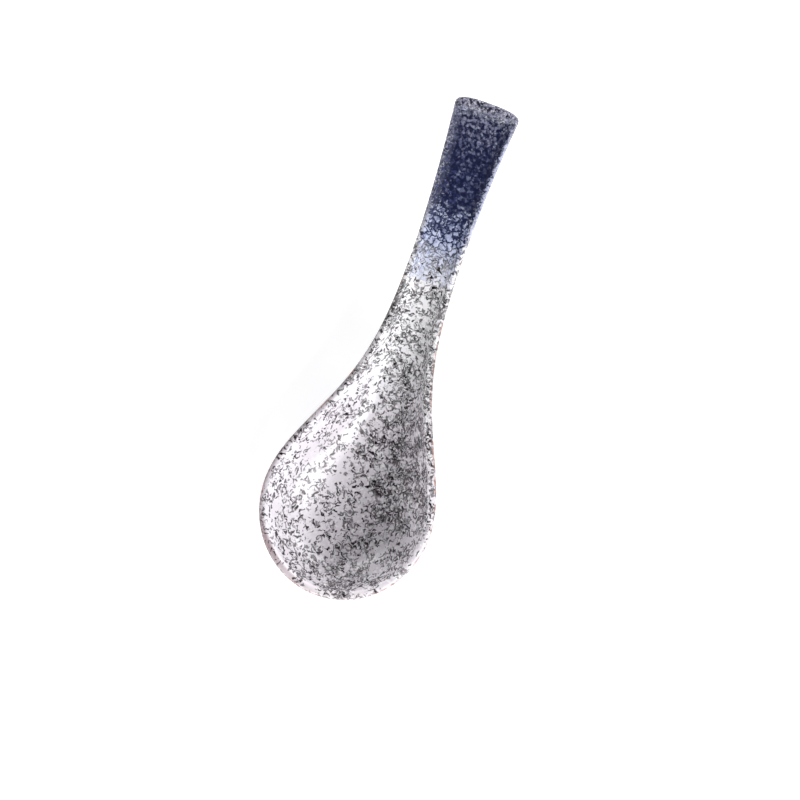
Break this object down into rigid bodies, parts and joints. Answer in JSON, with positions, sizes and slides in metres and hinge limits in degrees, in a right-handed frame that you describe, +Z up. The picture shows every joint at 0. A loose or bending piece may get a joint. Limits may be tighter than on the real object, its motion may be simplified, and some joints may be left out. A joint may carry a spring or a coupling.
{
  "type": "ceramic spoon",
  "caption": "Ceramic soup spoon with an egg-shaped bowl on a flat foot and a rising, flared handle, white speckled glaze and blue dipped handle end.",
  "frame": {"origin": "on the foot's resting face, under the widest section of the bowl", "axes": "+X from the bowl toward the handle's end, +Z up out of the bowl, the spoon alike on both sides of the XZ plane"},
  "size_m": [0.1338, 0.0458, 0.035],
  "materials": {
    "stoneware": "matt fired clay",
    "slip": "matt fired clay",
    "bare_foot": "wiped and fired, matt",
    "white_glaze": "glossy white with dark grey speckle",
    "iron_lip": "glossy thin glaze with an iron-brown edge",
    "blue_glaze": "glossy cobalt blue, mottled"
  },
  "bodies": {
    "root": {"bowl_body": "stoneware", "handle_body": "stoneware", "joint_slip": "slip", "foot": "bare_foot", "bowl_lining_glaze": "white_glaze", "bowl_outer_glaze": "white_glaze", "lip_band": "iron_lip", "neck_glaze": "white_glaze", "handle_dip_glaze": "blue_glaze"}
  },
  "joints": []
}
